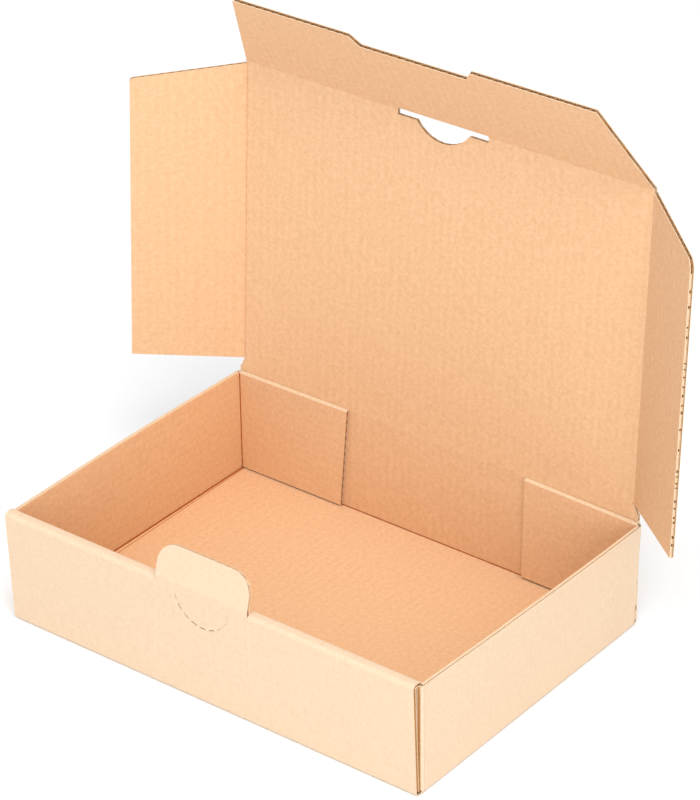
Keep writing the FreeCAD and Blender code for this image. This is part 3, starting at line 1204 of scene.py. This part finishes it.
class Tray:
    """The folded tray: bottom, side walls, back wall, corner tabs and the rolled front wall."""

    BODY = "tray"

    def __init__(self, box: Box, stock: Stock) -> None:
        """Keeps the sizes and the board."""
        self.box = box
        self.stock = stock

    def bottom_and_sides(self) -> None:
        """Makes the bottom panel with the two side walls folded up from it."""
        box = self.box
        reach = box.seam
        line = trace(
            (-box.side, box.wall_top),
            (-box.side, box.floor, box.bend),
            (box.side, box.floor, box.bend),
            (box.side, box.wall_top),
        )
        pressed = CrushedEdge(low=-0.7)
        strip = Strip("bottom_and_sides", self.stock, line, Plane.FACE, -reach, reach, box.pinch, pressed)
        layers = strip.build(
            True, True, lambda p: p.x + math.copysign(p.z, p.x), lambda p: p.y, WallBow.LENGTHS
        )
        end = reach - self.stock.board.half - box.bend
        corners = [
            block("corner", (x, x + BEYOND), y, (box.above_floor, box.front_height))
            for x in (-box.outside, box.outside - BEYOND)
            for y in ((-box.depth, -end), (end, box.depth))
        ]
        foot = box.front_layer(2, 0)
        wide = box.foot_width / 2 + box.layer_gap
        deep = box.board.half + box.layer_gap
        slots = [
            block("foot_slot", (x - wide, x + wide), (foot - deep, foot + deep), (-MM, 2 * MM))
            for x in (-box.foot_place, box.foot_place)
        ]
        layers.cut(*corners, *slots)
        self.second_crease(layers.inner)
        WallBow().apply(box, layers.all())
        layers.ride(self.BODY, "tray")

    def second_crease(self, floor: bpy.types.Object) -> None:
        """Presses in the second line that runs beside the left wall's fold and meets it at the back."""
        box = self.box
        fold = box.board.thickness - box.width / 2
        near, far = (fold + out for out in box.crease_gaps)
        groove = trace(
            (near, -box.seam),
            (near + box.rule_width, -box.seam),
            (far + box.rule_width, box.seam),
            (far, box.seam),
        ).solid("groove", box.board.thickness - box.rule_depth, 2 * box.board.thickness)
        # Painted shade: the groove's faces take the darker crease finish.
        dress(groove, self.stock.folded)
        cut_away(floor, [groove])
        discard(groove)

    def back_wall(self) -> None:
        """Makes the back wall, folded up from the bottom panel."""
        box = self.box
        y = box.hinge.y
        line = trace((box.seam, box.floor), (y, box.floor, box.bend), (y, box.wall_top))
        end = box.wall_end
        strip = Strip("back_wall", self.stock, line, Plane.END, -end, end, box.pinch, CrushedEdge(gaps=0.5))
        layers = strip.build(True, False, lambda p: p.x, lambda p: p.z)
        layers.ride(self.BODY, "tray")

    def back_tabs(self) -> None:
        """Makes the two back corner tabs, folded in from the side walls along the back wall."""
        box = self.box
        y = box.seam - box.board.half
        start = y - box.bend
        left_end = box.left_tab_slant - box.tab_end
        right = trace((box.side, start), (box.side, y, box.bend), (box.tab_end, y))
        left = trace((left_end, y), (-box.side, y, box.bend), (-box.side, start))
        for name, line in (("right_back_tab", right), ("left_back_tab", left)):
            low, high = box.above_floor + box.tab_clearance, box.wall_top
            strip = Strip(name, self.stock, line, Plane.PLAN, low, high, box.pinch, CrushedEdge())
            layers = strip.build(True, False, lambda p: p.z, lambda p: p.x - p.y)
            face = y - self.stock.board.half
            flattened = trace(
                (face - box.tab_bevel, high - 2 * box.tab_bevel),
                (face + box.tab_bevel, high + HAIR),
                (face - box.tab_bevel, high + HAIR),
            ).solid("flattened", -box.width / 2, box.width / 2)
            place(flattened, Plane.END.matrix())
            dress(flattened, self.stock.edge)
            layers.cut(flattened)
            sign = -1 if line is left else 1
            self.raise_end(layers, sign, box.left_tab_rise if line is left else box.right_tab_rise)
            if line is left:
                corner = trace(
                    (-box.tab_end, 0),
                    (-box.tab_end + BEYOND, 0),
                    (left_end + HAIR, box.front_height),
                    (left_end, box.wall_top),
                    (-box.tab_end, box.above_floor),
                ).solid("slant", -box.depth / 2, 0)
                place(corner, Plane.FACE.matrix())
                layers.cut(corner)
            WallBow().apply(box, layers.all())
            layers.ride(self.BODY, "tray")

    def raise_end(self, layers: Layers, sign: int, rise: float) -> None:
        """Lifts the top of a back tab's free end, as the tab has turned a little in its corner.

        Args:
            layers: The tab's papers.
            sign: 1 on the right and -1 on the left.
            rise: How far it is lifted.
        """
        box = self.box
        middle = sign * (box.side + box.tab_end) / 2
        bpy.ops.object.add(type="LATTICE", location=(middle, box.seam, box.wall_top / 2))
        cage = bpy.context.object
        cage.scale = (box.side - box.tab_end, box.cage_depth, box.wall_top)
        for point in cage.data.points:
            if point.co.x * sign < 0 and point.co.z > 0:
                point.co_deform = point.co + Vector((0, 0, rise / box.wall_top))
        bend_with(cage, layers.all())

    def front_tabs(self) -> None:
        """Makes the two front corner tabs, which swing into the lean between the two front walls."""
        box = self.box
        y = box.front_layer(1, box.above_floor)
        start = y + box.bend
        right = trace((box.tab_end, y), (box.side, y, box.bend), (box.side, start))
        left = trace((-box.side, start), (-box.side, y, box.bend), (-box.tab_end, y))
        rise = box.wall_top - box.above_floor
        for name, line in (("right_front_tab", right), ("left_front_tab", left)):
            strip = Strip(name, self.stock, line, Plane.PLAN, box.above_floor, box.wall_top)
            layers = strip.build(True, False, lambda p: p.z, lambda p: p.x + p.y)
            # Painted shade on the outer fold faces that look to the front, in the shaded gap behind the
            # front wall's end.
            strip.paint_fold_shade(layers.outer, self.stock.gap_shade, to_front=0.75)
            for paper in layers.all():
                pick(paper)
                bpy.ops.object.mode_set(mode="EDIT")
                bpy.ops.mesh.select_mode(type="VERT")
                bpy.ops.mesh.select_all(action="DESELECT")
                bpy.ops.object.mode_set(mode="OBJECT")
                for vertex in paper.data.vertices:
                    swings = abs(vertex.co.x) < box.width / 2 - box.tab_bend
                    vertex.select = swings and vertex.co.z > box.above_floor + rise / 2
                bpy.ops.object.mode_set(mode="EDIT")
                bpy.ops.transform.translate(value=(0, -box.lean_rate * rise, 0))
                bpy.ops.object.mode_set(mode="OBJECT")
            layers.ride(self.BODY, "tray")

    def front_roll(self) -> None:
        """Makes the front wall, rolled over its top and down inside to its locking feet."""
        box = self.box
        strip_z = box.front_height - box.board.half
        line = trace(
            (box.front_layer(2, box.foot_relief), box.foot_relief),
            (box.front_layer(2, strip_z), strip_z, box.bend),
            (box.front_layer(0, strip_z), strip_z, box.bend),
            (box.front_layer(0, box.floor), box.floor, box.bend),
            (-box.seam, box.floor),
        )
        end = box.wall_end
        strip = Strip("front_roll", self.stock, line, Plane.END, -end, end, crushed=CrushedEdge(gaps=0.7))
        layers = strip.build(True, False, lambda p: p.x, lambda p: p.z)
        layers.cut(*self.lock_opening(), *self.inner_wall_ends(), *self.half_moon())
        lines = self.pressed_lines()
        cut_away(layers.outer, lines)
        discard(*lines)
        layers.ride(self.BODY, "tray")

    def lock_opening(self) -> list[bpy.types.Object]:
        """The solids that open the roll where the lock tab has been folded up out of it."""
        box = self.box
        half = box.lock_width / 2
        above = box.front_height + BEYOND
        behind = BEYOND - box.depth / 2
        seat_floor = box.front_height - box.board.thickness - HAIR
        seat = block("seat", (-half, half), (-box.depth, behind), (seat_floor, above))
        window_floor = box.front_height + box.board.thickness * 3 + 2 * box.layer_gap
        window_floor -= box.crease + box.lock_height
        window = trace(
            (-half, above),
            (-half, window_floor, box.lock_corner),
            (half, window_floor, box.lock_corner),
            (half, above),
        ).solid("window", -behind, -box.front_layer(1, box.wall_top))
        place(window, Plane.FACE.matrix())
        return [seat, window]

    def inner_wall_ends(self) -> list[bpy.types.Object]:
        """The solids that shorten the inner front wall at its ends and between its feet."""
        box = self.box
        end = box.width / 2 - box.tab_bend - box.layer_gap
        y = (box.inner_trim, BEYOND - box.depth / 2)
        foot_start = box.foot_place - box.foot_width / 2
        foot_end = box.foot_place + box.foot_width / 2
        outside = box.outside
        return [
            block("end", x, y, (-MM, top))
            for x, top in (
                ((end, outside), box.wall_top),
                ((-outside, -end), box.wall_top),
                ((-foot_start, foot_start), box.above_floor),
                ((foot_end, outside), box.above_floor),
                ((-outside, -foot_end), box.above_floor),
            )
        ]

    def half_moon(self) -> list[bpy.types.Object]:
        """The solids that perforate the half-moon in the outer front wall."""
        box = self.box
        deep = (-box.depth, box.front_layer(0, box.wall_top) + box.cut_bite)
        half = box.cut_length / 2
        cuts = []
        for i, wide in enumerate(box.cut_widths):
            angle = box.cut_sweep * (i / (len(box.cut_widths) - 1) - 0.5)
            low, high = -box.moon_radius - wide / 2, -box.moon_radius + wide / 2
            cut = rectangle(-half, low, half, high).solid("cut", -deep[1], -deep[0])
            centre = Matrix.Translation((0, 0, box.front_height - box.moon_drop))
            place(cut, centre @ Plane.FACE.matrix() @ Matrix.Rotation(angle, 4, "Z"))
            cuts.append(cut)
        return cuts

    def pressed_lines(self) -> list[bpy.types.Object]:
        """The shallow grooves that the die's rule pressed into the front wall below the lock tab."""
        box = self.box
        wide = box.rule_width
        lines = []
        for x0, z0, x1, z1 in box.rule_lines:
            groove = trace((x0, 0), (x0 + wide, 0), (x1 + wide, z1 - z0), (x1, z1 - z0))
            solid = groove.solid("groove", -box.rule_depth, 2 * MM)
            dress(solid, self.stock.pressed)
            face = box.front_layer(0, z0) - box.board.half
            upright = Matrix.Rotation(QUARTER_TURN + math.atan(box.lean_rate), 4, "X")
            place(solid, Matrix.Translation((0, face, z0)) @ upright)
            lines.append(solid)
        return lines

    def build(self) -> None:
        """Builds the whole tray."""
        self.bottom_and_sides()
        self.back_wall()
        self.back_tabs()
        self.front_tabs()
        self.front_roll()


@dataclass(frozen=True)
class Crease:
    """A pressed fold line between two panels, where the flutes are crushed and the liners bend."""

    name: str
    bodies: tuple[str, str]
    where: Matrix
    angle: float
    spans: tuple[tuple[float, float], ...]
    lead: float = 0.0
    pinch: float = 0.0

    # The lid's own crease is drawn with this small angle, as a bend needs one
    NEARLY_FLAT = 0.001

    def build(self, box: Box, stock: Stock) -> None:
        """Makes the fold in a frame with X along it, Y from the first panel and Z inward.

        Args:
            box: Sizes of the box.
            stock: The board.
        """
        reach = box.crease
        line = trace(
            (-reach - self.lead, 0),
            (0, 0, min(box.bend, reach / math.tan(self.angle / 2))),
            (reach * math.cos(self.angle), reach * math.sin(self.angle)),
        )
        papers: dict[str, list[bpy.types.Object]] = {"outer": [], "inner": []}
        for low, high in self.spans:
            strip = Strip(self.name, stock, line, Plane.END, low, high, self.pinch, shaded_folds=False)
            layers = strip.build(False, False, lambda p: p.x, lambda p: p.y)
            papers["outer"].append(layers.outer)
            papers["inner"].append(layers.inner)
        for side, pieces in papers.items():
            paper = joined(f"{self.name}_{side}", pieces)
            place(paper, self.where)
            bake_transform(paper)
            stand_in(paper, self.bodies[1])


class Lid:
    """The lid, standing open on the back wall, with its front flap and its two side flaps."""

    BODY = "lid_panel"

    def __init__(self, box: Box, stock: Stock) -> None:
        """Keeps the sizes and the board, and finds each panel's frame."""
        self.box = box
        self.stock = stock
        self.frame = Matrix.Translation(box.hinge) @ Matrix.Rotation(QUARTER_TURN - box.lid_lean, 4, "X")
        self.flap_fold = self.frame @ Matrix.Translation((0, box.lid_length, 0))
        self.right_fold, self.left_fold = (
            self.frame
            @ Matrix.Translation((sign * box.side_fold, 0, 0))
            @ Matrix.Rotation(-sign * QUARTER_TURN, 4, "Z")
            for sign in (1, -1)
        )

    def main_panel(self) -> None:
        """Makes the lid's own panel, with the slot and the thumb notch at its front fold."""
        box = self.box
        edge = box.side_fold - box.crease
        front = box.lid_length - box.crease
        slot, notch = box.slot_width / 2, box.notch_width / 2
        slot_floor = box.lid_length - box.slot_depth
        radius = (notch**2 + box.notch_depth**2) / (2 * box.notch_depth)
        right = [
            Corner(box.wall_end - box.lid_step, box.crease),
            Corner(box.side_fold, box.lid_relief),
            Corner(edge, box.lid_relief),
            Corner(edge, front),
            Corner(slot, front),
            Corner(slot, slot_floor),
            Corner(notch, slot_floor),
        ]
        left = [Corner(-c.x, c.y) for c in reversed(right)]
        left[0] = Corner(-notch, slot_floor, about=(0, slot_floor - box.notch_depth + radius))
        outline = Line((*right, *left))
        panel = Panel("lid_panel", self.stock, outline, self.frame, True).build()
        panel.ride(self.BODY, "lid_panel")

    def front_flap(self) -> None:
        """Makes the front flap, with the recess in its free edge."""
        box = self.box
        slant = box.flap_slant * box.crease / box.flap_depth
        outline = mirrored(
            (box.side_fold - slant, box.crease),
            (box.side_fold - box.flap_slant, box.flap_depth),
            (box.recess_width / 2, box.flap_depth),
            (box.recess_floor / 2, box.flap_depth - box.recess_depth),
        )
        where = self.flap_fold @ Matrix.Rotation(box.flap_fold, 4, "X")
        panel = Panel("front_flap", self.stock, outline, where, True).build()
        panel.ride("lid_front_flap", "lid_front_flap")

    def side_flap(
        self, name: str, node: str, sign: int, fold: Matrix, angle: float, corner: float
    ) -> None:
        """Makes a side flap.

        Args:
            name: Name of the flap.
            node: The solid that it stands for, and the body that it moves with.
            sign: 1 on the right and -1 on the left.
            fold: Frame of its fold.
            angle: How far it is folded inward.
            corner: Radius of its front corner.
        """
        box = self.box
        near, far = box.flap_span
        slant = box.crease / box.side_depth
        points = (
            (near + box.side_back_slant * slant, box.crease),
            (near + box.side_back_slant, box.side_depth),
            (far - box.side_front_slant, box.side_depth, corner),
            (far - box.side_front_slant * slant, box.crease),
        )
        outline = trace(*((-sign * x, *rest) for x, *rest in points))
        where = fold @ Matrix.Rotation(angle, 4, "X")
        back = Vector((-sign * (near + box.side_back_slant), box.side_depth, 0))
        front = Vector((-sign * (far - box.side_front_slant - corner), box.side_depth, 0))
        edge = (back, front) if sign > 0 else (front, back)
        Panel(name, self.stock, outline, where, False, edge).build().ride(node, node)

    def creases(self) -> None:
        """Makes the lid's four folds."""
        box = self.box
        near, far = box.flap_span
        slot, fold = box.slot_width / 2, box.side_fold
        for crease in (
            Crease(
                "lid_crease",
                ("tray", "lid_panel"),
                self.frame,
                Crease.NEARLY_FLAT,
                ((-box.wall_end, box.wall_end),),
            ),
            Crease(
                "front_flap_crease",
                ("lid_panel", "lid_front_flap"),
                self.flap_fold,
                box.flap_fold,
                ((-fold, -slot), (slot, fold)),
            ),
            Crease(
                "right_flap_crease",
                ("lid_panel", "lid_right_flap"),
                self.right_fold,
                box.right_fold,
                ((-far, -near),),
            ),
            Crease(
                "left_flap_crease",
                ("lid_panel", "lid_left_flap"),
                self.left_fold,
                box.left_fold,
                ((near, far),),
                pinch=box.pinch,
            ),
        ):
            crease.build(box, self.stock)

    def build(self) -> None:
        """Builds the whole lid."""
        box = self.box
        self.main_panel()
        self.front_flap()
        self.side_flap("right_flap", "lid_right_flap", 1, self.right_fold, box.right_fold, box.right_corner)
        self.side_flap("left_flap", "lid_left_flap", -1, self.left_fold, box.left_fold, box.left_corner)
        self.creases()


class LockTab:
    """The lock tab, folded up out of the front wall's roll."""

    def __init__(self, box: Box, stock: Stock) -> None:
        """Keeps the sizes and the board, and finds the tab's fold."""
        self.box = box
        self.stock = stock
        half_turn = Matrix.Rotation(math.pi, 4, "Z")
        upright = Matrix.Rotation(QUARTER_TURN - math.atan(box.lean_rate), 4, "X")
        self.fold = Matrix.Translation(box.lock_hinge) @ half_turn @ upright

    def build(self) -> None:
        """Builds the tab and its crease."""
        box = self.box
        half = box.lock_width / 2
        outline = mirrored((half, box.crease), (half, box.lock_height, box.lock_corner))
        where = self.fold @ Matrix.Rotation(box.lock_fold, 4, "X")
        tab = Panel("lock_tab", self.stock, outline, where, True).build()
        dress(tab.flutes, self.stock.edge)
        tab.ride("lock_tab", "lock_tab")
        Crease(
            "lock_crease",
            ("tray", "lock_tab"),
            self.fold,
            box.lock_fold,
            ((-half, half),),
            lead=box.board.thickness + HAIR,
        ).build(box, self.stock)


# The studio


class Studio:
    """The pale floor, the soft lights and the camera that took the photograph."""

    EYE = Vector((0.65644, -0.81970, 0.69616))
    AZIMUTH = math.radians(38.149)
    ELEVATION = math.radians(29.989)
    ROLL = math.radians(-0.769)
    LENS = 159.336
    FILM = 36.0
    # Both lights face this point in the box
    TARGET = Vector((0, 0, 0.06))
    AIR = 0.72
    FLOOR_SIZE = 12
    FLOOR_PARTS = 8
    FARTHEST = 50

    def floor(self) -> None:
        """Lays the paper that the box stands on."""
        bpy.ops.object.select_all(action="DESELECT")
        parts = self.FLOOR_PARTS
        bpy.ops.mesh.primitive_grid_add(x_subdivisions=parts, y_subdivisions=parts, size=self.FLOOR_SIZE)
        paper = bpy.context.object
        paper.name = "studio_floor"
        paper.data.materials.append(StudioPaper().make())

    def light(self, name: str, where: tuple, size: float, power: float, colour: str) -> None:
        """Hangs a square soft light that faces the box.

        Args:
            name: Name of the light.
            where: Its place.
            size: Length of its sides.
            power: Its power in watts.
            colour: Its colour.
        """
        bpy.ops.object.light_add(type="AREA", location=where)
        lamp = bpy.context.object
        lamp.name = name
        lamp.data.shape = "SQUARE"
        lamp.data.size = size
        lamp.data.energy = power
        lamp.data.color = linear(colour)
        lamp.rotation_euler = (self.TARGET - lamp.location).to_track_quat("-Z", "Y").to_euler()

    def camera(self) -> None:
        """Sets up the camera at the photograph's place."""
        bpy.ops.object.camera_add()
        camera = bpy.context.object
        camera.name = "photograph_camera"
        level = math.cos(self.ELEVATION)
        back = Vector(
            (math.sin(self.AZIMUTH) * level, -math.cos(self.AZIMUTH) * level, math.sin(self.ELEVATION))
        )
        right = (-back).cross(Vector((0, 0, 1))).normalized()
        up = right.cross(-back)
        turned = right * math.cos(self.ROLL) + up * math.sin(self.ROLL)
        raised = up * math.cos(self.ROLL) - right * math.sin(self.ROLL)
        camera.matrix_world = Matrix.Translation(self.EYE) @ axes_of(turned, raised, back)
        camera.data.sensor_fit = "VERTICAL"
        camera.data.sensor_height = self.FILM
        camera.data.lens = self.LENS
        camera.data.clip_end = self.FARTHEST
        bpy.context.scene.camera = camera

    def build(self) -> None:
        """Sets up the whole studio."""
        self.floor()
        self.light("key_light", (1.45, -1.5, 0.9), 1.5, 20, "FFFFFF")
        self.light("top_light", (0.5, -0.55, 1.9), 1.2, 20, "FFFFFF")
        self.camera()
        world = bpy.data.worlds.new("studio_air")
        world.use_nodes = True
        air = world.node_tree.nodes["Background"].inputs
        air["Color"].default_value = (1, 1, 1, 1)
        air["Strength"].default_value = self.AIR
        bpy.context.scene.world = world
        bpy.context.scene.view_settings.view_transform = "Standard"


def main() -> None:
    """Builds the box and its setting in order."""
    logging.basicConfig(level=logging.INFO, format="%(message)s")
    box = Box()
    stock = Stock(box.board)
    for part in (Tray(box, stock), Lid(box, stock), LockTab(box, stock), Studio()):
        LOG.info("building %s", type(part).__name__)
        part.build()


if __name__ == "__main__":
    main()
